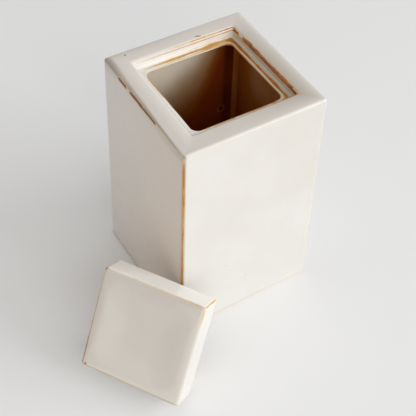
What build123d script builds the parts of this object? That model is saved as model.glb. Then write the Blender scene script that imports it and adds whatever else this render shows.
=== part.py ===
from build123d import *
from math import atan, cos, degrees, radians, sin
import os

# A square stoneware jar with a drop-in lid. The lid is off the jar: it stands on the
# table and leans on one upright edge of the jar. Everything is in millimetres. The
# origin is the middle of the jar's foot, +Z is up, and the four walls face X and Y.

# Jar body
rim_side = 102.0          # outside width at the rim, flat to flat
jar_height = 170.5        # foot to rim
foot_spread = 2.2         # how much further out each wall stands at the foot
wall = 7.2                # side wall, measured level
floor = 8.0               # bottom of the jar
corner_round = 2.2        # upright outside edges
rim_round = 2.0           # outside edge of the rim
foot_round = 1.2          # outside edge of the foot
cavity_corner = 6.0       # upright inside corners of the store space
cavity_foot_round = 4.0   # where the inside walls meet the floor

# Seat for the lid, sunk in the rim
rim_width = 13.9          # rim, from its outside edge to the seat's wall
rim_inner_round = 2.4     # edge between the rim and the seat's wall
seat_depth = 6.5          # rim down to the ledge
ledge_width = 5.0         # ledge that carries the lid
lip = 2.0                 # thickness of the ledge at the mouth
lip_round = 0.8           # upper edge of the mouth
haunch_height = 8.0       # slope under the ledge, which carries it off the walls
haunch_step = 0.8         # level strip between the mouth and the slope
seat_corner = 1.2         # upright corners of the seat
mouth_corner = 5.0        # upright corners of the mouth

# Lid
head_clearance = 0.6      # between the lid's head and the seat, on each side
plug_clearance = 1.2      # between the lid's plug and the mouth, on each side
head_thickness = 20.2     # the part that shows when the jar is closed
head_corner = 2.6         # upright corners of the head
head_round = 2.4          # outer edges of the head
head_under_round = 0.8    # edges of the head's underside
dish_margin = 4.5         # flat border round the dished outer face
dish_corner = 12.0        # corners of the dish, at the border
dish_slope = 7.0          # width of the dish's slope
dish_depth = 1.8          # how far the middle of the face is sunk
dish_blend = 12.0         # radius that softens both ends of the slope
plug_depth = 12.9         # collar below the head
plug_corner = 4.0         # upright corners of the collar
plug_round = 1.5          # end edges of the collar
plug_root_round = 1.5     # where the collar meets the head
collar_wall = 6.5         # wall of the hollow collar
lid_crown = 7.0           # clay left between the hollow and the dish
hollow_round = 3.0        # inside edges of the lid's hollow

# How the lid leans
lean_tilt = 33.3          # degrees back from upright
lean_yaw = -56.7          # degrees, the way the lid's level edges run
lean_offset = -6.5        # middle of the lid, sideways from the jar's edge
lean_gap = 0.3            # between the lid's collar and the jar's edge

# Sizes that follow
draft = degrees(atan(foot_spread / jar_height))
foot_side = rim_side + 2 * foot_spread
seat_side = rim_side - 2 * rim_width
mouth_side = seat_side - 2 * ledge_width
ledge_height = jar_height - seat_depth
lip_height = ledge_height - lip
head_side = seat_side - 2 * head_clearance
plug_side = mouth_side - 2 * plug_clearance
hollow_side = plug_side - 2 * collar_wall
hollow_depth = plug_depth + head_thickness - dish_depth - lid_crown


def outside_side(height):
    """Outside width of the jar at a height above its foot."""
    return foot_side - 2 * foot_spread * height / jar_height


def leaning_plane():
    """Plane of the underside of the lid's head, with its middle as origin.

    X runs along the lid's level edges, Y up the lid and Z out of its face. The lower
    end edge of the collar stands on the table, and the upper end edge is lean_gap
    away from the jar's upright edge.
    """
    tilt = radians(lean_tilt)
    along = Vector(cos(radians(lean_yaw)), sin(radians(lean_yaw)), 0)
    toward_jar = Vector(-along.Y, along.X, 0)
    outward = Vector(0, 0, sin(tilt)) - toward_jar * cos(tilt)

    # The collar touches with two rounded edges, whose centres lie this far from the
    # middle of the plane, up or down the lid and back from the head.
    arm = plug_side / 2 - plug_round
    back = plug_depth - plug_round
    height = arm * cos(tilt) + back * sin(tilt) + plug_round
    touch_height = height + arm * cos(tilt) - back * sin(tilt)
    reach = arm * sin(tilt) + back * cos(tilt) + plug_round

    corner = corner_round - outside_side(touch_height) / 2
    edge = Vector(corner, corner, 0)
    distance = edge.dot(toward_jar) - corner_round - lean_gap - reach
    sideways = edge.dot(along) + lean_offset
    origin = along * sideways + toward_jar * distance + Vector(0, 0, height)
    return Plane(origin=origin, x_dir=along, z_dir=outward)


# Store space of the jar. Its walls keep the same thickness up to the slope, which draws
# in to the mouth under the ledge.
slope_height = lip_height - haunch_height
with BuildPart() as store_space:
    for height, side, corner in (
        (floor, outside_side(floor) - 2 * wall, cavity_corner),
        (slope_height, outside_side(slope_height) - 2 * wall, cavity_corner),
        (lip_height, mouth_side + 2 * haunch_step, mouth_corner + haunch_step),
    ):
        with BuildSketch(Plane.XY.offset(height)):
            RectangleRounded(side, side, corner)
    loft(ruled=True)
    fillet(store_space.faces().sort_by(Axis.Z)[0].edges(), radius=cavity_foot_round)

# Jar: a square block with slightly spreading walls, the seat, the mouth and the store
# space cut out of it.
with BuildPart() as jar:
    with BuildSketch(Plane.XY):
        Rectangle(foot_side, foot_side)
    extrude(amount=jar_height, taper=draft)
    fillet(jar.edges().group_by(Axis.Z)[1], radius=corner_round)
    fillet(jar.faces().sort_by(Axis.Z)[-1].edges(), radius=rim_round)
    fillet(jar.faces().sort_by(Axis.Z)[0].edges(), radius=foot_round)
    add(store_space.part, mode=Mode.SUBTRACT)
    with BuildSketch(Plane.XY.offset(lip_height)):
        RectangleRounded(mouth_side, mouth_side, mouth_corner)
    extrude(amount=lip + seat_depth, mode=Mode.SUBTRACT)
    with BuildSketch(Plane.XY.offset(ledge_height)):
        RectangleRounded(seat_side, seat_side, seat_corner)
    extrude(amount=seat_depth, mode=Mode.SUBTRACT)
    ledge, rim = jar.faces().filter_by(Axis.Z).sort_by(Axis.Z)[-2:]
    fillet(rim.inner_wires()[0].edges(), radius=rim_inner_round)
    fillet(ledge.inner_wires()[0].edges(), radius=lip_round)
jar.part.label = "jar"

# Lid: a thick square head with a dished face, and under it a hollow square collar that
# drops into the mouth.
lid_plane = leaning_plane()
lid_axis = Axis(lid_plane.origin, lid_plane.z_dir)
with BuildPart() as lid:
    with BuildSketch(lid_plane):
        RectangleRounded(head_side, head_side, head_corner)
    extrude(amount=head_thickness)
    fillet(lid.faces().sort_by(lid_axis)[-1].edges(), radius=head_round)
    fillet(lid.faces().sort_by(lid_axis)[0].edges(), radius=head_under_round)

    # Dish in the outer face
    dish_side = head_side - 2 * dish_margin
    dish_floor_side = dish_side - 2 * dish_slope
    with BuildSketch(lid_plane.offset(head_thickness)):
        RectangleRounded(dish_side, dish_side, dish_corner)
    with BuildSketch(lid_plane.offset(head_thickness - dish_depth)):
        RectangleRounded(dish_floor_side, dish_floor_side, dish_corner - dish_slope)
    loft(mode=Mode.SUBTRACT)
    dish_floor, border = lid.faces().filter_by(lid_axis).sort_by(lid_axis)[-2:]
    fillet(border.inner_wires()[0].edges() + dish_floor.edges(), radius=dish_blend)

    # Collar
    with BuildSketch(lid_plane):
        RectangleRounded(plug_side, plug_side, plug_corner)
    extrude(amount=-plug_depth)
    underside = lid.faces().filter_by(lid_axis).sort_by(lid_axis)[1]
    fillet(underside.inner_wires()[0].edges(), radius=plug_root_round)

    # Hollow of the collar and the head
    with BuildSketch(lid_plane.offset(-plug_depth)):
        RectangleRounded(hollow_side, hollow_side, plug_corner)
    extrude(amount=hollow_depth, mode=Mode.SUBTRACT)
    level_faces = lid.faces().filter_by(lid_axis).sort_by(lid_axis)
    fillet(level_faces[0].edges(), radius=plug_round)
    hollow_ceiling = level_faces[2]
    fillet(hollow_ceiling.edges(), radius=hollow_round)
lid.part.label = "lid"

os.makedirs("parts", exist_ok=True)
export_step(jar.part, "parts/jar.step")
export_step(lid.part, "parts/lid.step")
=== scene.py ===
# %% [markdown]
# # A square stoneware jar and its drop-in lid
# The jar is a pot with four flat walls, a broad rim and a square seat sunk in it. The lid
# has been taken off and leans on the jar's front edge. Both are covered in the same cream
# glaze, which breaks to caramel and brown wherever it is thin.
#
# The CAD model gives every size. This lesson builds a finer skin for each of its two
# pieces, because a fired pot has soft edges and slightly uneven walls, and then it makes
# the glaze from procedural nodes.

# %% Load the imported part
from math import cos, pi, radians, sin

import bpy
import numpy as np
from mathutils import Matrix, Vector


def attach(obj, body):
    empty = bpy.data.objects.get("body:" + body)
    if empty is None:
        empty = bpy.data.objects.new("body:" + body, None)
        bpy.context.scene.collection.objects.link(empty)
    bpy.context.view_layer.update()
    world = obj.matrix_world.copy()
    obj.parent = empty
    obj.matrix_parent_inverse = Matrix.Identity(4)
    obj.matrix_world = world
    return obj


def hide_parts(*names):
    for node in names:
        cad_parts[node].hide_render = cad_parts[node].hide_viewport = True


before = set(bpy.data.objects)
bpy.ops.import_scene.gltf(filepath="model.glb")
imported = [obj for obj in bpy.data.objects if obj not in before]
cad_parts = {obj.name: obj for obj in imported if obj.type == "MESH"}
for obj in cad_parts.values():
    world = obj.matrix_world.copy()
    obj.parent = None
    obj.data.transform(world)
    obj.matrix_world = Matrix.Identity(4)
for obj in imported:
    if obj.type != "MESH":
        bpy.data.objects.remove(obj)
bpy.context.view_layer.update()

mm = 0.001
print("CAD nodes:", sorted(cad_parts))

# %% [markdown]
# ## The camera
# A photographer stood above the jar and a little to its left, with a long lens. The
# camera is placed by two angles and a distance from a point in the middle of the jar.
# The roll is the small tilt of a camera held in the hand. A matrix is built from the
# three directions instead of from Euler angles, so that each column can be read: right,
# up, and back toward the photographer.

# %% Camera
view_azimuth = radians(-32.73)
view_elevation = radians(48.53)
view_roll = radians(2.36)
view_distance = 0.6525
view_target = Vector((-0.0008, -0.0008, 0.0496))

level_right = Vector((cos(view_azimuth), sin(view_azimuth), 0))
back = Vector((
    sin(view_azimuth) * cos(view_elevation),
    -cos(view_azimuth) * cos(view_elevation),
    sin(view_elevation),
))
level_up = back.cross(level_right)
right = level_right * cos(view_roll) + level_up * sin(view_roll)
up = level_up * cos(view_roll) - level_right * sin(view_roll)

camera_data = bpy.data.cameras.new("camera")
camera_data.lens = 78.45
camera_data.sensor_width = 36.0
camera = bpy.data.objects.new("camera", camera_data)
columns = Matrix((right, up, back)).transposed().to_4x4()
camera.matrix_world = Matrix.Translation(view_target + back * view_distance) @ columns
bpy.context.scene.collection.objects.link(camera)
bpy.context.scene.camera = camera
bpy.context.scene.view_settings.view_transform = "Standard"
print("camera at", [round(x, 4) for x in camera.matrix_world.translation])

# %% [markdown]
# ## Floor and light
# The object stands on a pale sheet near a big window. The window is a large soft lamp low
# on the right, so the front wall is the brightest, the left wall is the darkest and the
# shadows fall softly to the left. A second, weaker lamp stands for the pale wall in front
# that sends some of the window's light back, and the world gives the rest.
#
# A lamp's power is worked out from the brightness it should give, because a number of
# watts says little. At strength 1 a white sheet that faces the lamp would render white.

# %% Floor
floor_half = 3.0
floor_mesh = bpy.data.meshes.new("floor")
corners = [(-1, -1), (1, -1), (1, 1), (-1, 1)]
floor_points = [(x * floor_half, y * floor_half, 0) for x, y in corners]
floor_mesh.from_pydata(floor_points, [], [(0, 1, 2, 3)])
floor = bpy.data.objects.new("floor", floor_mesh)
bpy.context.scene.collection.objects.link(floor)

paper = bpy.data.materials.new("floor_paper")
paper.use_nodes = True
paper_shader = paper.node_tree.nodes["Principled BSDF"]
paper_shader.inputs["Base Color"].default_value = (0.94, 0.94, 0.945, 1)
paper_shader.inputs["Roughness"].default_value = 0.7
paper_shader.inputs["Specular IOR Level"].default_value = 0.2
floor_mesh.materials.append(paper)


# %% Lamps and world
def softbox(name, toward, distance, side, strength, colour):
    """A square lamp in a direction from the jar, which faces the jar.

    Its light falls off with the square of the distance, and a white sheet sends back what
    it gets divided by pi, as does the lamp's own face, so power = strength pi^2 distance^2.
    """
    data = bpy.data.lights.new(name, "AREA")
    data.shape = "SQUARE"
    data.size = side
    data.energy = strength * (pi * distance) ** 2
    data.color = colour
    lamp = bpy.data.objects.new(name, data)
    direction = Vector(toward).normalized()
    facing = direction.to_track_quat("Z", "Y").to_matrix().to_4x4()
    lamp.matrix_world = Matrix.Translation(direction * distance + view_target) @ facing
    lamp.visible_camera = False
    bpy.context.scene.collection.objects.link(lamp)


softbox(
    "window",
    toward=(0.74, -0.62, 0.30),
    distance=6.0,
    side=4.8,
    strength=0.72,
    colour=(0.97, 0.995, 1.03),
)
softbox(
    "wall_in_front",
    toward=(-0.15, -0.85, 0.50),
    distance=3.0,
    side=2.4,
    strength=0.29,
    colour=(1.0, 0.99, 0.965),
)

world = bpy.data.worlds.new("room")
world.use_nodes = True
bpy.context.scene.world = world
world_nodes = world.node_tree.nodes
world_links = world.node_tree.links
room_light = world_nodes["Background"]
room_light.inputs["Color"].default_value = (1.0, 0.99, 0.965, 1)
room_light.inputs["Strength"].default_value = 0.50
backdrop = world_nodes.new("ShaderNodeBackground")
backdrop.inputs["Color"].default_value = (0.76, 0.76, 0.77, 1)
backdrop.inputs["Strength"].default_value = 1.0
rays = world_nodes.new("ShaderNodeLightPath")
seen = world_nodes.new("ShaderNodeMath")
seen.operation = "MAXIMUM"
choose = world_nodes.new("ShaderNodeMixShader")
world_links.new(rays.outputs["Is Camera Ray"], seen.inputs[0])
world_links.new(rays.outputs["Is Glossy Ray"], seen.inputs[1])
world_links.new(seen.outputs[0], choose.inputs["Fac"])
world_links.new(room_light.outputs[0], choose.inputs[1])
world_links.new(backdrop.outputs[0], choose.inputs[2])
world_links.new(choose.outputs[0], world_nodes["World Output"].inputs["Surface"])

# %% [markdown]
# ## A lathe for square pots
# A round pot is a profile turned about an axis. A square pot can be made the same way, if
# the profile travels around a square with rounded corners instead of a circle. So the
# surface needs two things: a ring, which says how a point walks around the square, and
# an outline, which says how far out, how high and how round at the corners the surface is.
#
# The ring is counted in walls: 0 is the middle of the right wall (+X), 1 the middle of the
# back wall (+Y), 2 of the left wall and 3 of the front wall, and the halves between are
# the corners. Points crowd together toward the corners, where the shape bends.

# %% The ring around the square
side_steps = 56
corner_steps = 20
crowding = 0.6        # 0 is even spacing along a wall
corner_share = 0.08   # how much of one wall's count the bend of a corner takes


def square_ring():
    """Arrays for one trip around a square of half side 1.

    On a wall the foot of a point is (1, t) and it faces (1, 0), with t from -1 to 1
    spaced as s + crowding sin(pi s) / pi. In a corner the foot stays at (1, 1) and the
    facing turns by a quarter. Each further wall is the same, turned by 90 degrees.
    """
    s = np.linspace(-1, 1, side_steps + 1)
    t = s + crowding * np.sin(pi * s) / pi
    bend = np.linspace(0, pi / 2, corner_steps + 1)[1:-1]
    foot = np.concatenate((
        np.stack((np.ones_like(t), t), axis=1),
        np.ones((len(bend), 2)),
    ))
    facing = np.concatenate((
        np.stack((np.ones_like(t), np.zeros_like(t)), axis=1),
        np.stack((np.cos(bend), np.sin(bend)), axis=1),
    ))
    wall_place = (1 - corner_share) / 2 * t
    corner_place = 0.5 + corner_share * (bend / (pi / 2) - 0.5)
    place = np.concatenate((wall_place, corner_place))
    short_of_corner = np.concatenate((1 - np.abs(t), np.zeros_like(bend)))
    off_bend = np.concatenate((np.full_like(t, pi / 4), np.abs(bend - pi / 4)))

    feet, facings, places = [], [], []
    for wall_number in range(4):
        turn = np.array(((0, -1), (1, 0)))
        quarter = np.linalg.matrix_power(turn, wall_number)
        feet.append(foot @ quarter.T)
        facings.append(facing @ quarter.T)
        places.append(place + wall_number)
    return {
        "foot": np.concatenate(feet),
        "facing": np.concatenate(facings),
        "place": np.concatenate(places),
        "short_of_corner": np.tile(short_of_corner, 4),
        "off_bend": np.tile(off_bend, 4),
    }


ring = square_ring()
print("ring:", len(ring["place"]), "points")


# %% An outline of straight runs and arcs
class Outline:
    """A profile as stations of half side, height and corner radius, in metres.

    It starts at a pole on the axis and ends at the other one. Going along it, the clay is
    on the left hand, so the finished surface faces outwards. An arc keeps half side minus
    corner radius, which is what rounding over an edge does to a rounded square.
    """

    def __init__(self, height):
        self.stations = [(0.0, height, 0.0)]
        self.marks = {}

    def line(self, half, height, corner, step):
        """A straight run to a station, in equal steps no longer than step."""
        start = np.array(self.stations[-1])
        end = np.array((half, height, corner))
        steps = int(np.ceil(np.linalg.norm((end - start)[:2]) / step))
        shares = np.arange(1, steps + 1)[:, None] / steps
        self.stations.extend(map(tuple, start + (end - start) * shares))

    def arc(self, radius, start, end, marks=None, steps=12, mitred=False):
        """An arc between two directions from its centre, in degrees, 0 outwards and 90 up.

        The last station is where it starts, so the centre lies one radius from there.
        Marks map a name to a share of the arc, and keep how far along the outline that
        is, for the glaze. A mitred arc keeps the corner radius instead, as where two edges
        are rounded first and meet in a crease.
        """
        half, height, corner = self.stations[-1]
        core = half - corner
        centre_half = half - radius * cos(radians(start))
        centre_height = height - radius * sin(radians(start))
        angles = np.radians(np.linspace(start, end, steps + 1)[1:])
        halves = centre_half + radius * np.cos(angles)
        heights = centre_height + radius * np.sin(angles)
        for name, share in (marks or {}).items():
            self.marks[name] = self.length() + radius * abs(radians(end - start)) * share
        corners = np.full_like(halves, corner) if mitred else halves - core
        self.stations.extend(zip(halves, heights, corners))

    def length(self):
        """How long the outline is so far."""
        points = np.array(self.stations)[:, :2]
        return np.linalg.norm(np.diff(points, axis=0), axis=1).sum()


# %% [markdown]
# ## Clay is never quite flat
# A wall that was cast or pressed, dried and fired is a few tenths of a millimetre uneven.
# The eye doesn't see that as shape, but it does see how a reflection wanders. So every
# skin is pushed into the clay by a slow random wave, and never outwards, which keeps the
# object inside the CAD model's box.

# %% Unevenness and the mesh itself
def waves(points, wavelength, seed):
    """Smooth unevenness between 0 and 1 at an array of points.

    It is the mean of eight sine waves, in random directions and phases and 0.7 to 1.5
    times the wavelength long, spread out so that it fills the range.
    """
    random = np.random.default_rng(seed)
    directions = random.normal(size=(8, 3))
    directions /= np.linalg.norm(directions, axis=1, keepdims=True)
    lengths = wavelength * random.uniform(0.7, 1.5, size=(8, 1))
    phases = random.uniform(0, 2 * pi, size=8)
    angles = 2 * pi * points @ (directions / lengths).T + phases
    return np.clip(0.5 + np.sin(angles).mean(axis=-1), 0, 1)


def unevenness(points, layers):
    """How deep points are pushed in: waves added up, each a depth, a wavelength and a seed."""
    return sum(depth * waves(points, wavelength, seed) for depth, wavelength, seed in layers)


def square_lathe(outline):
    """Grids of points, normals and measures for an outline carried around the ring.

    A point is foot (half - corner) + facing corner, at its station's height. Its normal
    leans outwards by the outline's rise and up by how fast the outline draws in.
    """
    half, height, corner = np.array(outline.stations).T[:, :, None]
    corner = np.minimum(corner, half)
    step = np.hypot(np.diff(half, axis=0), np.diff(height, axis=0))
    travelled = np.concatenate((np.zeros((1, 1)), np.cumsum(step, axis=0)))
    rise = np.gradient(height[:, 0], travelled[:, 0])[:, None]
    draw_in = -np.gradient(half[:, 0], travelled[:, 0])[:, None]
    size = np.hypot(rise, draw_in)

    flat = (half - corner)[..., None] * ring["foot"] + corner[..., None] * ring["facing"]
    level = np.broadcast_to(height, flat.shape[:2])[..., None]
    outwards = (rise / size)[..., None] * ring["facing"]
    upwards = np.broadcast_to(draw_in / size, flat.shape[:2])[..., None]
    to_corner = ring["short_of_corner"] * (half - corner) + ring["off_bend"] * corner
    return {
        "points": np.concatenate((flat, level), axis=2),
        "normals": np.concatenate((outwards, upwards), axis=2),
        "travelled": np.broadcast_to(travelled, flat.shape[:2]),
        "to_corner": to_corner,
        "place": np.broadcast_to(ring["place"], flat.shape[:2]),
    }


def skin_object(name, points, measures):
    """A mesh object from a grid of points that starts and ends at a pole.

    The rows between are joined by quads and each pole by a fan of triangles, so the skin
    is closed. measures are grids of numbers that the glaze reads as attributes.
    """
    rows, columns = points.shape[:2]
    grid = 1 + np.arange((rows - 2) * columns).reshape(rows - 2, columns)
    following = np.roll(grid, -1, axis=1)
    quads = np.stack((grid[:-1], following[:-1], following[1:], grid[1:]), axis=-1)
    last = 1 + (rows - 2) * columns
    first_fan = np.stack((np.zeros(columns, int), following[0], grid[0]), axis=-1)
    last_fan = np.stack((grid[-1], following[-1], np.full(columns, last)), axis=-1)

    def flattened(values):
        """The two poles as one value each, and all the rows between."""
        between_poles = values[1:-1].reshape(-1, *values.shape[2:])
        return np.concatenate((values[:1, 0], between_poles, values[-1:, 0]))

    mesh = bpy.data.meshes.new(name)
    faces = quads.reshape(-1, 4).tolist() + first_fan.tolist() + last_fan.tolist()
    mesh.from_pydata(flattened(points).tolist(), [], faces)
    mesh.shade_smooth()
    for key, values in measures.items():
        attribute = mesh.attributes.new(key, "FLOAT", "POINT")
        attribute.data.foreach_set("value", flattened(values).astype(np.float32))
    thing = bpy.data.objects.new(name, mesh)
    bpy.context.scene.collection.objects.link(thing)
    mesh.calc_loop_triangles()
    print(name, "has", len(mesh.loop_triangles), "triangles")
    return thing


# %% [markdown]
# ## Where the glaze breaks
# This kind of glaze is white where it lies thick and lets the brown clay through where it
# is thin. It runs off sharp edges in the kiln, so thin brown lines follow the edges, some
# strong and some hardly there. Painting those lines by hand on a picture would tie them
# to one resolution. Here each point of the skin is told how far it is from the nearest
# line, counted in line widths, and how bare that line is at that place.
#
# A line's strength changes around the jar. It is given as a few places, in walls, with
# the strength there, and everything between is interpolated. Two slower measures are given
# the same way: where a grey wash dulls the glaze, and where it lies thick and white. A
# third one says where the glaze is a little warmer.

# %% Measures for the glaze lines
def around(knots, place):
    """A value that changes around the ring, from a dictionary of place to value."""
    return np.interp(place, list(knots), list(knots.values()), period=4)


def band(distance, ends):
    """1 between the middle two of four distances, and fading to 0 at the outer two."""
    return np.interp(distance, ends, (0, 1, 1, 0))


def level_lines(skin, marks, lines):
    """Distance to the nearest level line in line widths, and that line's bareness.

    The distance is how far the outline travels between the point and the line's mark,
    divided by the line's half width at that place. A line that isn't there is passed over.
    """
    nearest = np.full(skin["travelled"].shape, 100.0)
    bareness = np.zeros_like(nearest)
    for name, line in lines.items():
        width = around(line["width"], skin["place"]) * mm
        bare = around(line["bare"], skin["place"])
        distance = np.abs(skin["travelled"] - marks[name]) / width
        closer = (distance < nearest) & (bare > 0)
        nearest = np.where(closer, distance, nearest)
        bareness = np.where(closer, bare, bareness)
    return nearest, bareness


# %% [markdown]
# ## The jar's skin
# The outline starts under the foot, goes up the outer wall, over the rim, down into the
# seat, over the lip of the mouth and under it to the store space, whose walls and floor
# end it. The radii are those of the CAD model. The corner between the seat's wall and its
# ledge is filled by a little glaze, as on the real pot.

# %% Sizes of the jar
rim_half = 51.0 * mm
jar_height = 170.5 * mm
foot_half = 53.2 * mm
wall = 7.2 * mm
floor_thickness = 8.0 * mm
corner_round = 2.2 * mm
rim_round = 2.0 * mm
foot_round = 1.2 * mm
seat_half = 37.1 * mm
seat_corner = 1.2 * mm
seat_round = 2.4 * mm
seat_shift = (0.4 * mm, 0.5 * mm)
near_lip_bulge = 1.2 * mm
ledge_height = 164.0 * mm
glaze_fill = 0.8 * mm
mouth_half = 32.1 * mm
mouth_corner = 5.0 * mm
lip_round = 0.8 * mm
lip_under_round = 0.4 * mm
lip_height = 162.0 * mm
haunch_step = 0.8 * mm
slope_height = 154.0 * mm
store_corner = 6.0 * mm
store_foot_round = 4.0 * mm


def outside_half(height):
    """Half the jar's outside width at a height: the walls spread toward the foot."""
    return foot_half + (rim_half - foot_half) * height / jar_height


# %% Outline of the jar
jar_outline = Outline(0.0)
jar_outline.line(outside_half(foot_round) - foot_round, 0, corner_round - foot_round, 6 * mm)
jar_outline.arc(foot_round, -90, 0, {"foot": 0.5}, steps=8)
rim_start = jar_height - rim_round
jar_outline.line(outside_half(rim_start), rim_start, corner_round, 3.2 * mm)
jar_outline.arc(rim_round, 0, 90, {"rim_edge": 0.1, "rim_outside": 0.5}, steps=14)
jar_outline.line(seat_half + seat_round, jar_height, seat_corner, 0.8 * mm)
inner_marks = {"rim_lip": 0.5, "rim_inside": 0.72, "rim_under": 1.0}
jar_outline.arc(seat_round, 90, 180, inner_marks, steps=16, mitred=True)
jar_outline.line(seat_half, ledge_height + glaze_fill, seat_corner, 0.5 * mm)
jar_outline.arc(glaze_fill, 0, -90, {"seat_foot": 0.5}, steps=6)
jar_outline.line(mouth_half + lip_round, ledge_height, mouth_corner + lip_round, 0.3 * mm)
jar_outline.arc(lip_round, 90, 180, {"mouth": 0.5}, steps=8)
jar_outline.line(mouth_half, lip_height + lip_under_round, mouth_corner, 0.4 * mm)
jar_outline.arc(lip_under_round, 180, 270, steps=4)
jar_outline.line(mouth_half + haunch_step, lip_height, mouth_corner + haunch_step, 0.4 * mm)
jar_outline.line(outside_half(slope_height) - wall, slope_height, store_corner, 1.5 * mm)
pit_height = 93.2 * mm
pit_reach = 5.5 * mm
store_foot = floor_thickness + store_foot_round
coarse_step = 3.5 * mm
fine_step = 0.5 * mm
for height, step in (
    (pit_height + pit_reach, coarse_step),
    (pit_height - pit_reach, fine_step),
    (store_foot, coarse_step),
):
    jar_outline.line(outside_half(height) - wall, height, store_corner, step)
jar_outline.arc(store_foot_round, 0, -90, steps=8)
jar_outline.line(0, floor_thickness, 0, 4 * mm)
print("jar outline:", len(jar_outline.stations), "stations,", round(jar_outline.length() / mm), "mm")

# %% [markdown]
# ## Lines of the jar
# The strongest lines of the real jar are the wide caramel band along the inside of the
# rim on the right, the gold line at the foot of the seat at the back, and the long brown
# line on the upright edge at the front. The others are thin and come and go.
#
# The lines called rim_edge and rim_outside lie on the rim's outer rounding. Those called
# rim_lip, rim_inside and rim_under follow each other down its inner one.

# %% Level lines of the jar
ledge_line_from_seat_foot = 2.6 * mm
jar_outline.marks["ledge"] = jar_outline.marks["seat_foot"] + ledge_line_from_seat_foot
jar_lines = {
    # The foot line is strongest on the left wall, where it also paints the contact shade at the foot.
    "foot": {
        "width": {0: 0.9},
        "bare": {0: 0.3, 1: 0.5, 2: 0.85, 2.47: 0.8, 2.53: 0.3, 3: 0.2},
    },
    "rim_edge": {
        "width": {0: 0.4, 1.5: 2.0, 1.56: 1.5, 2: 1.7, 2.2: 1.4, 2.5: 0.7},
        "bare": {
            0: 0.1, 0.5: 0.15, 1: 0.35, 1.44: 0.45, 1.48: 0.6, 1.51: 0.55, 1.53: 0.1, 1.7: 0.1,
            1.725: 1, 1.81: 1, 1.825: 0.1, 1.845: 0.1, 1.86: 1, 2.15: 1, 2.18: 0.2, 2.45: 0.2,
            2.55: 0.1, 3: 0.1,
        },
    },
    "rim_outside": {
        "width": {0: 0.5},
        "bare": {0: 0.05, 1: 0, 2: 0, 2.55: 0.06, 2.7: 0.1, 3.4: 0.12, 3.5: 0.1},
    },
    "rim_lip": {
        "width": {0.5: 0.5, 1: 0.6, 2: 0.5, 3: 0.9, 3.5: 1.2},
        "bare": {
            0.4: 0, 0.55: 0.7, 0.8: 0.5, 1.0: 0.4, 1.2: 0.15, 1.6: 0.2, 2: 0.3, 2.4: 0.3,
            2.6: 0.45, 3: 0.62, 3.4: 0.68, 3.6: 0,
        },
    },
    "rim_inside": {
        "width": {0.44: 2.4, 0.52: 0.4, 3.46: 0.4, 3.55: 2.3},
        "bare": {
            0.32: 0.77, 0.345: 0.1, 0.37: 0.1, 0.4: 0.74, 0.46: 0.7, 0.54: 0, 3.46: 0, 3.54: 0.77,
        },
    },
    "rim_under": {
        "width": {0.42: 0.9, 0.55: 0.5, 3.45: 0.5, 3.55: 0.9},
        "bare": {
            0.32: 0.82, 0.345: 0.3, 0.37: 0.3, 0.4: 0.8, 0.46: 0.8, 0.54: 0.4, 1: 0.42,
            1.4: 0.15, 3.4: 0.2, 3.5: 0.6, 3.55: 0.82,
        },
    },
    "seat_foot": {
        "width": {0: 0.6},
        "bare": {0: 0.2, 0.55: 0.2, 0.9: 0.22, 1.2: 0.1, 1.5: 0.05, 2.5: 0, 3.5: 0.2},
    },
    "ledge": {
        "width": {0: 1.5, 0.44: 1.5, 0.6: 2.0, 1: 1.9, 1.4: 1.2, 3.4: 1.1, 3.55: 1.5},
        "bare": {
            0: 0.75, 0.44: 0.75, 0.56: 0.55, 0.8: 0.5, 1.1: 0.48, 1.3: 0.42, 1.42: 0.3,
            1.47: 0, 2.5: 0, 3.4: 0.3, 3.55: 0.75,
        },
    },
    "mouth": {
        "width": {
            0: 0.9, 0.7: 0.9, 1: 0.5, 1.5: 0.4, 1.6: 1.6, 1.85: 1.3, 2.2: 0.6, 2.55: 1.0,
            3: 1.2, 3.4: 1.3,
        },
        "bare": {
            0: 0.32, 0.5: 0.4, 0.7: 0.5, 0.9: 0.45, 1.4: 0.25, 1.52: 0.1, 1.57: 0.45, 1.8: 0.42,
            2: 0.3, 2.3: 0.15, 2.5: 0.1, 2.57: 0.45, 3: 0.55, 3.3: 0.7, 3.42: 0.75, 3.46: 0.3,
            3.5: 0.2,
        },
    },
}
jar_skin = square_lathe(jar_outline)
nearest, bareness = level_lines(jar_skin, jar_outline.marks, jar_lines)
print("level lines of the jar:", sorted(jar_lines))

# %% Upright lines of the jar
jar_points = jar_skin["points"]
travelled = jar_skin["travelled"]
place = jar_skin["place"]
marks = jar_outline.marks
heights = jar_points[..., 2]
outside = travelled < marks["rim_outside"]

# They belong to the outer walls alone, and run out toward the rim and the foot.
front_edge = 2.5
upright_width = 1.45 * mm
upright_bare = {0.5: 0.2, 1.5: 0.25, 2.3: 0.2, front_edge: 0.58, 2.7: 0.2, 3.5: 0.2}
run_out_above = 9 * mm
run_out_below = 6 * mm
fade_to_rim = np.clip((jar_height - heights) / run_out_above, 0, 1)
fade_to_foot = np.clip(heights / run_out_below, 0, 1)
upright_strength = around(upright_bare, place) * fade_to_rim * fade_to_foot * outside

# %% [markdown]
# ## Chances of making
# The walls of the jar are uneven, but not its foot, which was rubbed flat. The seat was
# cut a little off the middle: the shift grows across the rim's top, is whole from the
# seat's edge to the mouth, and is gone again under the slope. The lip of the mouth bulges
# inwards along the front wall, which is why it can be seen there.

# %% Unevenness, shift and bulge of the jar
uneven_below = 20 * mm
jar_waves = ((0.16 * mm, 70 * mm, 3), (0.06 * mm, 17 * mm, 4))
settled = np.clip(heights / uneven_below, 0, 1) * (travelled > foot_half)
depth = unevenness(jar_points, jar_waves) * settled

mouth = marks["mouth"]
shift_ends = (marks["rim_outside"] + rim_round, marks["rim_lip"], mouth, mouth + 20 * mm)
jar_points[..., :2] += band(travelled, shift_ends)[..., None] * np.array(seat_shift)

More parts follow.
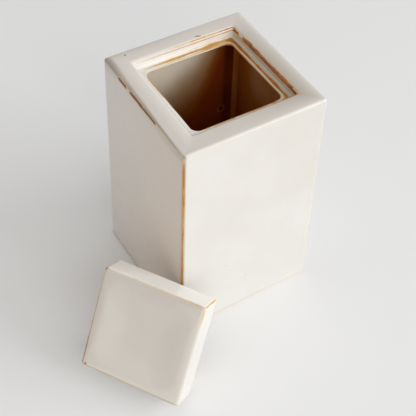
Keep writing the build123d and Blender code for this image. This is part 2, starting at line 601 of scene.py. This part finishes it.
bulge_ends = (marks["seat_foot"] + 1 * mm, mouth, mouth + 3 * mm, mouth + 15 * mm)
bulge_around = {2.38: 0, 2.46: 1, 3.54: 1, 3.62: 0}
jar_points[..., 1] += near_lip_bulge * band(travelled, bulge_ends) * around(bulge_around, place)
print("unevenness of the jar: up to", round(depth.max() / mm, 2), "mm")

# %% [markdown]
# ## Wash and painted shade, thick glaze with painted highlight, and warmth
# A grey painted shade darkens the rim's outer rounding, most of all on the left, and a little
# way down the wall under it. It also darkens the seat's wall at the right, and very faintly
# the top of the front wall. A grey wash of the glaze lies on the rim's level top and along
# the front upright edge. Each of these is a band along the outline, times its strength
# around the ring, and the strongest of them counts.

# %% Wash and painted shade on the jar
from_edge = travelled - marks["rim_edge"]
reach_around = {0: 3.4, 1.6: 3.4, 1.8: 2.6, 2: 2.2, 2.2: 1.4, 2.45: 0.9, 2.55: 3.4}
rounding_reach = around(reach_around, place) * mm
rounding = band(from_edge / rounding_reach, (-0.1, 0.0, 1.0, 1.8))
under_edge = np.interp(from_edge, (-7 * mm, -0.5 * mm, 0.5 * mm), (0, 1, 0))
rim_top_ends = (marks["rim_edge"] + 2 * mm, marks["rim_lip"], marks["rim_lip"] + 1 * mm)
rim_top = np.interp(travelled, rim_top_ends, (0, 1, 0))
seat_wall = band(travelled, (
    marks["rim_under"] - 1 * mm,
    marks["rim_under"],
    mouth - 0.3 * mm,
    mouth + 0.5 * mm,
))
beside_upright = outside * np.interp(jar_skin["to_corner"], (0.72 * mm, 1.92 * mm), (1, 0))
upper_wall = outside * np.interp(heights, (50 * mm, 120 * mm), (0, 1))

# The rounding, under-edge, seat-wall and upper-front bands paint shade; the rim-top and front-edge
# bands are a grey wash of the glaze.
rounding_shade = {
    0: 0, 0.8: 0.05, 1.44: 0.3, 1.48: 1, 1.6: 0.95, 1.7: 0.8, 2.2: 0.85, 2.4: 0.75, 2.5: 0.4,
    2.56: 0.1, 3.4: 0,
}
under_edge_shade = {1.47: 0, 1.5: 0.6, 1.66: 0.35, 1.75: 0.15, 2.1: 0.3, 2.3: 0.5, 2.48: 0.55, 2.5: 0}
rim_top_wash = {0: 0.75, 0.3: 0.5, 0.5: 0, 1.3: 0.05, 1.5: 0.15, 1.7: 0, 2.5: 0, 3: 0.2, 3.5: 0.75}
seat_wall_shade = {0: 0.6, 0.44: 0.5, 0.55: 0, 3.45: 0, 3.6: 0.6}
front_edge_wash = {2.3: 0, 2.4: 1, 2.6: 1, 2.7: 0}
upper_front_shade = {2.5: 0, 2.52: 0.04, 3.1: 0.09, 3.48: 0.13, 3.5: 0}
wash_and_shade = np.max((
    rounding * around(rounding_shade, place),
    under_edge * around(under_edge_shade, place),
    rim_top * around(rim_top_wash, place),
    seat_wall * around(seat_wall_shade, place),
    beside_upright * around(front_edge_wash, place),
    upper_wall * around(upper_front_shade, place),
), axis=0)

# %% Thick glaze and painted highlight on the jar
# Whiter glaze that paints highlights and the window's light: it lies on the seat's other
# walls, over the outer rounding at the front and right, and on the inner part of the rim's
# top at the back and left.
inner_top_ends = (marks["rim_lip"] - 8 * mm, marks["rim_lip"])
inner_top = np.interp(travelled, inner_top_ends, (0, 1)) * (travelled < marks["rim_under"])
seat_wall_highlight = {
    0.45: 0, 0.58: 0.9, 1.2: 1, 1.4: 0.7, 1.5: 0.3, 1.6: 0.7, 2.5: 0.9, 3.4: 0.5, 3.5: 0,
}
rounding_highlight = {0: 0.35, 0.45: 0.3, 0.6: 0, 2.5: 0, 2.7: 0.1, 3.4: 0.25}
inner_top_highlight = {0.5: 0, 0.7: 0.5, 1.5: 0.6, 1.7: 0.9, 2.4: 1, 2.6: 0}
thick_and_highlight = np.max((
    seat_wall * around(seat_wall_highlight, place),
    rounding * around(rounding_highlight, place),
    inner_top * around(inner_top_highlight, place),
), axis=0)

# %% Warmth and painted warm shade of the jar
# The rim's glaze is a little warmer. The left wall has a painted warm shade, stronger toward its
# front edge and foot, beside the lid.
rim_warmth = 0.26
wall_shade_warmth = 0.1 + 0.85 * (place - 1.55) + 0.35 * (1 - heights / jar_height)
on_left_wall = outside & (place > 1.5) & (place < front_edge)
warm_and_shade = np.clip(wall_shade_warmth, 0, 1) * on_left_wall
warm_and_shade = np.where(outside | (travelled > marks["rim_under"]), warm_and_shade, rim_warmth)
print("the jar's wash reaches", round(wash_and_shade.max(), 2), "and its warmth", round(warm_and_shade.max(), 2))

# %% [markdown]
# ## Inside the jar
# The store space is pale at the upper left of the back wall, where the window's light falls
# in, and darker toward the right and down: partly the glaze's own brown and partly painted
# shade. It is darkest beside the corner at the right of the back wall, a painted shadow of the
# rim, while that corner itself has a paler strip.
#
# A small ringed pit on the inside of the back wall, left by a bubble in the clay, is
# pressed into the points themselves. Its ring is painted paler than the wall as a painted
# highlight, and its hole darker as painted shade.


# %% How brown and shaded the store space is
def inside_brown_and_shade(points, place):
    """How dark the store space is painted, 0 pale and 1 darkest: partly the glaze's own colour
    and partly painted shade, which is deepest in the strip beside the back wall's right corner.

    With x, y and z in mm, most of it depends on the level z - 0.7 x - 0.05 (x - 10)^2,
    where the square counts beyond x = 10 alone. It is 0 above the level 152 and 1 below
    86. The strip beside the corner, beyond x = 34, has 0.2 more. The right wall starts at
    0.66, and grows by 0.2 from y = 20 to 40 and by 0.15 from z = 135 down to 100. The
    corner between the two is 0.73 all the way down.
    """
    x, y, z = np.moveaxis(points, -1, 0) / mm
    level = z - 0.7 * x - 0.05 * np.clip(x - 10, 0, None) ** 2
    # The 0.2 more beyond x = 34 paints the shadow beside the back wall's right corner.
    brown_and_shade = np.clip((152 - level) / 66, 0, 1) + 0.2 * np.interp(x, (34, 38), (0, 1))
    right_brown = 0.66 + 0.2 * np.clip((y - 20) / 20, 0, 1) + 0.15 * np.clip((135 - z) / 35, 0, 1)
    right_wall = points[..., 0] > outside_half(points[..., 2]) - wall - 0.5 * mm
    brown_and_shade = np.where(right_wall, right_brown, brown_and_shade)
    corner_strip = (place > 0.455) & (place < 0.5) & (points[..., 2] > store_foot)
    return np.where(corner_strip, 0.73, brown_and_shade)


brown_and_shade = inside_brown_and_shade(jar_points, place)
inner_glaze_from_mouth = 0.4 * mm
inside = travelled > mouth + inner_glaze_from_mouth

# %% The pit
pit_place = np.array((36 * mm, outside_half(pit_height) - wall, pit_height))
pit_radius = 1.7 * mm
hole_depth = 0.7 * mm
ring_height = 0.15 * mm
ring_radius = 1.5   # in radii of the hole
ring_spread = 0.4
# The hole's darker colour is painted shade and the ring's paler colour a painted highlight.
hole_shade = 0.5
ring_highlight = 0.42
from_pit = np.linalg.norm(jar_points - pit_place, axis=2) / pit_radius
hole = np.exp(-from_pit ** 2)
ring_round_hole = np.exp(-((from_pit - ring_radius) / ring_spread) ** 2)
depth = depth + hole_depth * hole - ring_height * ring_round_hole
brown_and_shade = brown_and_shade + hole_shade * hole - ring_highlight * ring_round_hole

# %% The jar's skin as an object
jar = skin_object("jar_skin", jar_points - jar_skin["normals"] * depth[..., None], {
    "line_distance": nearest,
    "line_bare": bareness,
    "upright_distance": jar_skin["to_corner"] / upright_width,
    "upright_bare": upright_strength,
    "wash_and_shade": wash_and_shade,
    "warm_and_shade": warm_and_shade,
    "thick_and_highlight": thick_and_highlight,
    "inside": inside * 1.0,
    "brown_and_shade": brown_and_shade,
})
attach(jar, "jar")
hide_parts("jar")

# %% [markdown]
# ## The lid's skin
# The lid is made lying flat in its own frame, with its face up, and is then leant on the
# jar by the same sums as in the CAD source: its lower edge stands on the floor and the
# upper edge of its collar almost touches the jar's upright edge.
#
# Its face is a shallow dish. A cosine from the border to the middle gives the soft fall
# of a dish that was sponged smooth, where a cut slope would leave two creases. It falls
# more slowly than in the CAD model, whose flat floor is larger, but is as deep.

# %% Sizes of the lid
head_half = 36.5 * mm
head_thickness = 20.2 * mm
head_corner = 2.6 * mm
head_round = 2.4 * mm
head_under_round = 0.8 * mm
dish_half = 32.0 * mm
dish_corner = 12.0 * mm
dish_floor_half = 10.0 * mm
dish_depth = 1.8 * mm
plug_half = 30.9 * mm
plug_depth = 12.9 * mm
plug_corner = 4.0 * mm
plug_round = 1.5 * mm
plug_root_round = 1.5 * mm
hollow_half = 24.4 * mm
hollow_ceiling = 11.4 * mm
hollow_round = 3.0 * mm
lean_tilt = radians(33.3)
lean_yaw = radians(-56.7)
lean_offset = -6.5 * mm
lean_gap = 0.3 * mm

# %% Outline of the lid
lid_outline = Outline(hollow_ceiling)
lid_outline.line(hollow_half - hollow_round, hollow_ceiling, plug_corner - hollow_round, 4 * mm)
lid_outline.arc(hollow_round, 90, 0, steps=8)
lid_outline.line(hollow_half, plug_round - plug_depth, plug_corner, 2.5 * mm)
lid_outline.arc(plug_round, 180, 270, steps=8)
lid_outline.line(plug_half - plug_round, -plug_depth, plug_corner - plug_round, 1 * mm)
lid_outline.arc(plug_round, -90, 0, {"plug_end": 0.5}, steps=8)
lid_outline.line(plug_half, -plug_root_round, plug_corner, 1.5 * mm)
lid_outline.arc(plug_root_round, 180, 90, steps=8)
lid_outline.line(head_half - head_under_round, 0, head_corner - head_under_round, 0.6 * mm)
lid_outline.arc(head_under_round, -90, 0, {"head_back": 0.5}, steps=8)
lid_outline.line(head_half, head_thickness - head_round, head_corner, 0.9 * mm)
lid_outline.arc(head_round, 0, 90, {"head_front": 0.5}, steps=16)
lid_outline.line(dish_half, head_thickness, dish_corner, 0.5 * mm)
for share in np.linspace(0, 1, 25)[1:]:
    half = dish_half + (dish_floor_half - dish_half) * share
    height = head_thickness - dish_depth * (1 - cos(pi * share)) / 2
    lid_outline.stations.append((half, height, dish_corner * half / dish_half))
lid_outline.line(0, head_thickness - dish_depth, 0, 1.5 * mm)
print("lid outline:", len(lid_outline.stations), "stations")


# %% The lean
def leaning_frame():
    """Matrix of the lid's frame: X along its level edges, Y up the lid, Z out of its face.

    arm and back_reach are where the centres of the collar's rounded edges lie, along the
    lid and behind its head. The lower one is as high as its own radius above the floor,
    and the upper one stands off the jar's edge by its radius and the gap.
    """
    along = Vector((cos(lean_yaw), sin(lean_yaw), 0))
    toward_jar = Vector((-along.y, along.x, 0))
    outward = Vector((0, 0, sin(lean_tilt))) - toward_jar * cos(lean_tilt)
    arm = plug_half - plug_round
    back_reach = plug_depth - plug_round
    height = arm * cos(lean_tilt) + back_reach * sin(lean_tilt) + plug_round
    touch_height = height + arm * cos(lean_tilt) - back_reach * sin(lean_tilt)
    reach = arm * sin(lean_tilt) + back_reach * cos(lean_tilt) + plug_round
    edge = Vector((1, 1, 0)) * (corner_round - outside_half(touch_height))
    distance = edge.dot(toward_jar) - corner_round - lean_gap - reach
    sideways = edge.dot(along) + lean_offset
    origin = along * sideways + toward_jar * distance + Vector((0, 0, height))
    axes = Matrix((along, outward.cross(along), outward)).transposed().to_4x4()
    return Matrix.Translation(origin) @ axes


lid_frame = leaning_frame()
print("lid leans at", [round(x / mm, 1) for x in lid_frame.translation], "mm")

# %% Lines of the lid
lid_lines = {
    "plug_end": {"width": {0: 0.9}, "bare": {0: 0.7}},
    "head_back": {"width": {0: 0.5}, "bare": {0: 0.4}},
    "head_front": {
        "width": {0: 0.8, 0.6: 1.3, 1: 1.6, 1.45: 1.1, 1.6: 0.8, 2: 1.0, 2.4: 1.2, 3: 1.2},
        "bare": {
            0: 0.05, 0.28: 0.05, 0.34: 0.2, 0.44: 0.27, 0.5: 0.2, 0.6: 0.25, 1: 0.19, 1.44: 0.15,
            1.5: 0.5, 1.56: 0.3, 2: 0.45, 2.3: 0.7, 2.47: 0.7, 2.5: 0.4, 2.54: 0.4, 2.8: 0.35,
            3: 0.3, 3.4: 0.3, 3.5: 0.1,
        },
    },
}
lid_upright_bare = {0.3: 0.2, 0.5: 0.4, 0.7: 0.2, 1.3: 0.2, 1.5: 0.6, 1.7: 0.2, 2.5: 0.4, 3.5: 0.2}
lid_upright_width = 1.2 * mm

lid_skin = square_lathe(lid_outline)
nearest, bareness = level_lines(lid_skin, lid_outline.marks, lid_lines)
travelled = lid_skin["travelled"]
place = lid_skin["place"]
marks = lid_outline.marks
on_head = (travelled > marks["head_back"]) & (travelled < marks["head_front"])
upright_strength = around(lid_upright_bare, place) * on_head

# %% [markdown]
# ## Thick and thin on the lid, with painted highlight and shade
# The side that is uppermost here has the thickest, whitest glaze, which paints the light that
# falls on it, and the face a painted warm shade. On the face, what counts is the way from the
# border's edge: a narrow border, and the slope down into the dish, both whitened in places as
# painted light, and the border greyed at the top and left as painted shade. The lower edge has
# a grey painted shadow, and the strip under the upper edge a grey painted shade.

# %% Measures of the lid
# The lid's face gets a painted warm shade.
face_shade_warmth = 0.35
from_border = (travelled - marks["head_front"]) / mm
on_face = from_border > 0
border = np.interp(from_border, (0, 2, 7), (0, 1, 0)) * on_face
slope = band(from_border, (3, 8, 14, 26))
upper_strip = band(from_border, (0, 2, 8, 14))
lower_edge = band(from_border, (-1.5, -0.5, 0.8, 2.0))

side_highlight = {0: 0, 0.45: 0.2, 0.55: 1, 1.45: 1, 1.55: 0.2, 3.9: 0}
border_highlight = {2.4: 0, 2.6: 0.5, 3.4: 0.5, 3.6: 0.7, 0.4: 0.7, 0.6: 0}
slope_highlight = {1.5: 0, 1.65: 0.14, 2.35: 0.14, 2.5: 0.2, 3.35: 0.2, 3.5: 0}
thick_and_highlight = np.max((
    on_head * around(side_highlight, place),
    border * around(border_highlight, place),
    slope * around(slope_highlight, place),
), axis=0)

border_shade = {0.4: 0, 0.6: 0.15, 1.4: 0.15, 1.6: 0.25, 2.4: 0.25, 2.6: 0}
upper_strip_shade = {0.5: 0, 0.6: 0.09, 1.4: 0.09, 1.5: 0}
lower_edge_shade = {2.5: 0, 2.58: 0.6, 3.45: 0.6, 3.5: 0}
wash_and_shade = np.max((
    border * around(border_shade, place),
    upper_strip * around(upper_strip_shade, place),
    lower_edge * around(lower_edge_shade, place),
), axis=0)
print("the lid's wash reaches", round(wash_and_shade.max(), 2), "and its thick glaze", round(thick_and_highlight.max(), 2))

# %% The lid's skin as an object
lid_waves = ((0.14 * mm, 50 * mm, 7), (0.05 * mm, 14 * mm, 8))
depth = unevenness(lid_skin["points"], lid_waves)
lying_points = lid_skin["points"] - lid_skin["normals"] * depth[..., None]
leaning_points = lying_points @ np.array(lid_frame.to_3x3()).T + np.array(lid_frame.translation)
lid = skin_object("lid_skin", leaning_points, {
    "line_distance": nearest,
    "line_bare": bareness,
    "upright_distance": lid_skin["to_corner"] / lid_upright_width,
    "upright_bare": upright_strength,
    "wash_and_shade": wash_and_shade,
    "warm_and_shade": on_face * face_shade_warmth,
    "thick_and_highlight": thick_and_highlight,
})
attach(lid, "lid")
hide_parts("lid")

# %% [markdown]
# ## A few words for nodes
# A material is a small tree of nodes, and most of the code that builds one says the same
# things again and again: make a node, set it, plug something in. These helpers say them
# once, so that the recipes below read like recipes.

# %% Helpers for node trees
def add(tree, kind, inputs, **settings):
    """A new node. inputs maps a socket to a plain value, or to the socket that feeds it.

    The settings come first, because a group node has no sockets before it has its tree.
    """
    made = tree.nodes.new(kind)
    for name, value in settings.items():
        setattr(made, name, value)
    for name, value in inputs.items():
        if isinstance(value, bpy.types.NodeSocket):
            tree.links.new(value, made.inputs[name])
        else:
            made.inputs[name].default_value = value
    return made


def noise(tree, place, grain, detail=2.0, roughness=0.5):
    """Cloudy noise between about 0.2 and 0.8, whose clouds are one grain across."""
    inputs = {"Vector": place, "Scale": 1 / grain, "Detail": detail, "Roughness": roughness}
    return add(tree, "ShaderNodeTexNoise", inputs).outputs["Fac"]


def sums(tree, operation, first, second=0.0):
    """One sum, product or comparison of two values."""
    return add(tree, "ShaderNodeMath", {0: first, 1: second}, operation=operation).outputs[0]


def fade(tree, value, start, end, before=0.0, after=1.0):
    """A value that goes smoothly from before to after while the input goes from start to end."""
    inputs = {"Value": value, "From Min": start, "From Max": end, "To Min": before, "To Max": after}
    return add(tree, "ShaderNodeMapRange", inputs, interpolation_type="SMOOTHSTEP").outputs["Result"]


def blend(tree, amount, under, over):
    """Colour under, covered by colour over as far as amount says."""
    made = add(tree, "ShaderNodeMix", {"Factor": amount}, data_type="RGBA")
    for socket, colour in ((made.inputs[6], under), (made.inputs[7], over)):
        if isinstance(colour, bpy.types.NodeSocket):
            tree.links.new(colour, socket)
        else:
            socket.default_value = (*colour, 1)
    return made.outputs[2]


def new_group(name, inputs, outputs):
    """An empty node group with named sockets, its tree, and both of its ends."""
    tree = bpy.data.node_groups.new(name, "ShaderNodeTree")
    for direction, sockets in (("INPUT", inputs), ("OUTPUT", outputs)):
        for socket_name, kind in sockets.items():
            tree.interface.new_socket(socket_name, in_out=direction, socket_type="NodeSocket" + kind)
    start = tree.nodes.new("NodeGroupInput")
    end = tree.nodes.new("NodeGroupOutput")
    return tree, start.outputs, end.inputs


def read(tree, name):
    """A measure that the skin's points carry."""
    made = add(tree, "ShaderNodeAttribute", {}, attribute_name=name, attribute_type="GEOMETRY")
    return made.outputs["Fac"]


def use(tree, group, inputs):
    """The outputs of a shared group in a tree."""
    return add(tree, "ShaderNodeGroup", inputs, node_tree=group).outputs


# %% [markdown]
# ## The glaze as three shared groups
# The first group turns distance from a line into how thin the glaze is. A real break line
# wanders, swells and stops, so a noise shifts the distance and another one dims the line.
#
# The second gives the colour. Glaze is cream, with faint clouds and a few specks of iron.
# Pooled white over it paints highlights, a warm tint paints warm shade and warms the rim, and
# a grey paints shade as well as a grey wash. As it thins it goes to tan, gold, caramel and at
# last to the brown of the clay.
#
# The third gives the height for a bump: the orange-peel skin of a glaze, a little step
# down where it is thin, and pinholes.

# %% Group for thin glaze
wander_grain = 7 * mm
wander_widths = 1.3     # how far a line wanders, in its own widths
patch_grain = 11 * mm
patch_floor = 0.78      # what is left of a line where it is dimmest
halo_widths = 4.0
halo_strength = 0.16

tree, given, result = new_group(
    "glaze_break",
    {"Place": "Vector", "Distance": "Float", "Bare": "Float"},
    {"Thin": "Float"},
)
wander = sums(tree, "SUBTRACT", noise(tree, given["Place"], wander_grain), 0.5)
wandered = sums(tree, "ADD", given["Distance"], sums(tree, "MULTIPLY", wander, wander_widths))
core = fade(tree, wandered, 0.35, 1.0, 1.0, 0.0)
patches = fade(tree, noise(tree, given["Place"], patch_grain), 0.36, 0.58, patch_floor, 1.0)
patches = sums(tree, "MAXIMUM", patches, given["Bare"])
halo = fade(tree, given["Distance"], 0.0, halo_widths, halo_strength, 0.0)
line_depth = sums(tree, "ADD", sums(tree, "MULTIPLY", core, patches), halo)
tree.links.new(sums(tree, "MULTIPLY", line_depth, given["Bare"]), result["Thin"])
glaze_break = tree
print("glaze_break has", len(tree.nodes), "nodes")

# %% Colours of the glaze
cream = (0.735, 0.718, 0.678)
grey_cream = (0.705, 0.685, 0.640)
warm_cream = (0.730, 0.690, 0.625)
# The pooled white is a whiter glaze that paints highlights and the light falling on a surface.
pooled_white_highlight = (0.96, 0.94, 0.89)
# The warm tint warms the rim's glaze and paints warm shade on the left wall and the lid's face.
warm_tint_and_shade = (0.78, 0.655, 0.56)
# The grey paints shade, and is a grey wash of the glaze on the rim's top and beside the front edge.
grey_wash_and_shade = (0.40, 0.335, 0.27)
iron_speck = (0.23, 0.17, 0.12)
tan = (0.74, 0.56, 0.36)
gold = (0.65, 0.345, 0.065)
caramel = (0.42, 0.13, 0.016)
clay_brown = (0.17, 0.06, 0.022)
speck_spacing = 9 * mm
speck_strength = 0.75
# The veil greys even a bare line where the painted shade and wash are strongest.
shade_veil_strength = 0.2     # how much the strongest wash dulls even a bare line

# %% Group for glaze colour
tree, given, result = new_group(
    "glaze_colour",
    {"Place": "Vector", "Thin": "Float", "Thick_And_Highlight": "Float", "Warm_And_Shade": "Float", "Wash_And_Shade": "Float"},
    {"Color": "Color", "Speck": "Float"},
)
clouds = fade(tree, noise(tree, given["Place"], 48 * mm, detail=3.0), 0.35, 0.68)
blotches = noise(tree, given["Place"], 13 * mm, detail=4.0, roughness=0.6)
glaze = blend(tree, clouds, cream, grey_cream)
glaze = blend(tree, fade(tree, blotches, 0.42, 0.72, 0.0, 0.5), glaze, warm_cream)
glaze = blend(tree, given["Thick_And_Highlight"], glaze, pooled_white_highlight)
glaze = blend(tree, given["Warm_And_Shade"], glaze, warm_tint_and_shade)
glaze = blend(tree, given["Wash_And_Shade"], glaze, grey_wash_and_shade)

cells = add(tree, "ShaderNodeTexVoronoi", {"Vector": given["Place"], "Scale": 1 / speck_spacing})
chance = add(tree, "ShaderNodeSeparateColor", {0: cells.outputs["Color"]}).outputs[0]
near_centre = fade(tree, cells.outputs["Distance"], 0.02, 0.055, 1.0, 0.0)
speck = sums(tree, "MULTIPLY", fade(tree, chance, 0.86, 0.90), near_centre)
glaze = blend(tree, sums(tree, "MULTIPLY", speck, speck_strength), glaze, iron_speck)

# The thinner the glaze, the further this ladder of colours is climbed.
ladder = ((0.03, 0.32, tan), (0.28, 0.52, gold), (0.50, 0.74, caramel), (0.74, 0.98, clay_brown))
for start, end, colour in ladder:
    glaze = blend(tree, fade(tree, given["Thin"], start, end), glaze, colour)
shade_veil = sums(tree, "MULTIPLY", sums(tree, "POWER", given["Wash_And_Shade"], 3.0), shade_veil_strength)
tree.links.new(blend(tree, shade_veil, glaze, grey_wash_and_shade), result["Color"])
tree.links.new(speck, result["Speck"])
glaze_colour = tree
print("glaze_colour has", len(tree.nodes), "nodes")

# %% Group for glaze height
peel_depth = 0.020 * mm
roll_depth = 0.075 * mm
step_depth = -0.06 * mm
pinhole_depth = -0.08 * mm

tree, given, result = new_group(
    "glaze_height",
    {"Place": "Vector", "Thin": "Float", "Speck": "Float"},
    {"Height": "Float"},
)
peel = sums(tree, "MULTIPLY", noise(tree, given["Place"], 2.6 * mm, detail=1.0), peel_depth)
roll = sums(tree, "MULTIPLY", noise(tree, given["Place"], 9 * mm, detail=1.0), roll_depth)
step_down = sums(tree, "MULTIPLY", given["Thin"], step_depth)
pinholes = sums(tree, "MULTIPLY", given["Speck"], pinhole_depth)
relief = sums(tree, "ADD", sums(tree, "ADD", peel, roll), sums(tree, "ADD", step_down, pinholes))
tree.links.new(relief, result["Height"])
glaze_height = tree
print("glaze_height has", len(tree.nodes), "nodes")

# %% [markdown]
# ## The two finishes
# Both pieces wear the same glaze, with a few iron spots where the real ones have them. The
# jar's material also colours its store space, which darkens to brown with depth: partly the
# glaze's own brown and partly painted shade.

# %% Iron spots
# Each is a centre in mm, a radius in mm and a colour.
iron_brown = (0.26, 0.17, 0.11)
iron_orange = (0.40, 0.12, 0.02)
spot_strength = 0.75
rim_spots = [
    ((11.1, 40.9, 170.5), 1.0, iron_brown),
    ((12.3, 40.5, 170.5), 1.1, iron_brown),
    ((13.5, 40.1, 170.5), 1.0, iron_brown),
    ((-37.8, 46.3, 170.5), 1.1, iron_brown),
]
lid_spots = [((-126.1, -52.8, 14.6), 1.6, iron_orange)]


def spotted(tree, place, colour, spots):
    """A colour with spots, which are solid in the middle and fade at the edge."""
    for centre, radius, spot_colour in spots:
        inputs = {0: place, 1: [coordinate * mm for coordinate in centre]}
        away = add(tree, "ShaderNodeVectorMath", inputs, operation="DISTANCE").outputs["Value"]
        amount = fade(tree, away, 0.4 * radius * mm, radius * mm, spot_strength, 0.0)
        colour = blend(tree, amount, colour, spot_colour)
    return colour


# %% The glazed material
def glazed(name, spots, inner_glaze=None):
    """A glazed stoneware material. inner_glaze may lay a colour of its own over the glaze."""
    material = bpy.data.materials.new(name)
    material.use_nodes = True
    tree = material.node_tree
    shader = tree.nodes["Principled BSDF"]
    place = add(tree, "ShaderNodeTexCoord", {}).outputs["Object"]
    thinness = [
        use(tree, glaze_break, {
            "Place": place,
            "Distance": read(tree, line + "_distance"),
            "Bare": read(tree, line + "_bare"),
        })["Thin"]
        for line in ("line", "upright")
    ]
    thin = sums(tree, "MAXIMUM", *thinness)
    tint = use(tree, glaze_colour, {
        "Place": place,
        "Thin": thin,
        "Thick_And_Highlight": read(tree, "thick_and_highlight"),
        "Warm_And_Shade": read(tree, "warm_and_shade"),
        "Wash_And_Shade": read(tree, "wash_and_shade"),
    })
    colour = spotted(tree, place, tint["Color"], spots)
    if inner_glaze:
        colour = inner_glaze(tree, place, colour)
    relief = use(tree, glaze_height, {"Place": place, "Thin": thin, "Speck": tint["Speck"]})
    bump = add(tree, "ShaderNodeBump", {"Height": relief["Height"], "Distance": 1.0, "Strength": 1.0})
    gloss = fade(tree, noise(tree, place, 30 * mm), 0.3, 0.7, 0.17, 0.24)
    roughness = sums(tree, "ADD", gloss, sums(tree, "MULTIPLY", thin, 0.12))
    tree.links.new(colour, shader.inputs["Base Color"])
    tree.links.new(roughness, shader.inputs["Roughness"])
    tree.links.new(bump.outputs["Normal"], shader.inputs["Normal"])
    shader.inputs["IOR"].default_value = 1.5
    return material


# %% The store space's glaze
inside_cream = (0.98, 0.89, 0.74)
tan_brown = (0.58, 0.37, 0.20)
red_brown = (0.36, 0.11, 0.014)
deep_brown = (0.30, 0.052, 0.006)
# The nearly black step paints the shadow beside the back wall's right corner.
shadow_black_brown = (0.04, 0.006, 0.002)
drift_grain = 22 * mm
drift_size = 0.16


def inside_colour_and_shade(tree, place, outer_colour):
    """Pale at the top left, then tan, and nearly black where the painted shade is deepest; partly the
    glaze's own colour.
    """
    clouds = sums(tree, "SUBTRACT", noise(tree, place, drift_grain), 0.5)
    depth = sums(tree, "ADD", read(tree, "brown_and_shade"), sums(tree, "MULTIPLY", clouds, drift_size))
    colour = blend(tree, fade(tree, depth, 0.05, 0.50), inside_cream, tan_brown)
    browning_and_shade = ((0.40, 0.80, red_brown), (0.76, 1.00, deep_brown), (1.02, 1.35, shadow_black_brown))
    for start, end, browner in browning_and_shade:
        colour = blend(tree, fade(tree, depth, start, end), colour, browner)
    return blend(tree, read(tree, "inside"), outer_colour, colour)


jar.data.materials.append(glazed("jar_glaze_skin", rim_spots, inside_colour_and_shade))
lid.data.materials.append(glazed("lid_glaze_skin", lid_spots))
print("materials:", [m.name for m in bpy.data.materials])
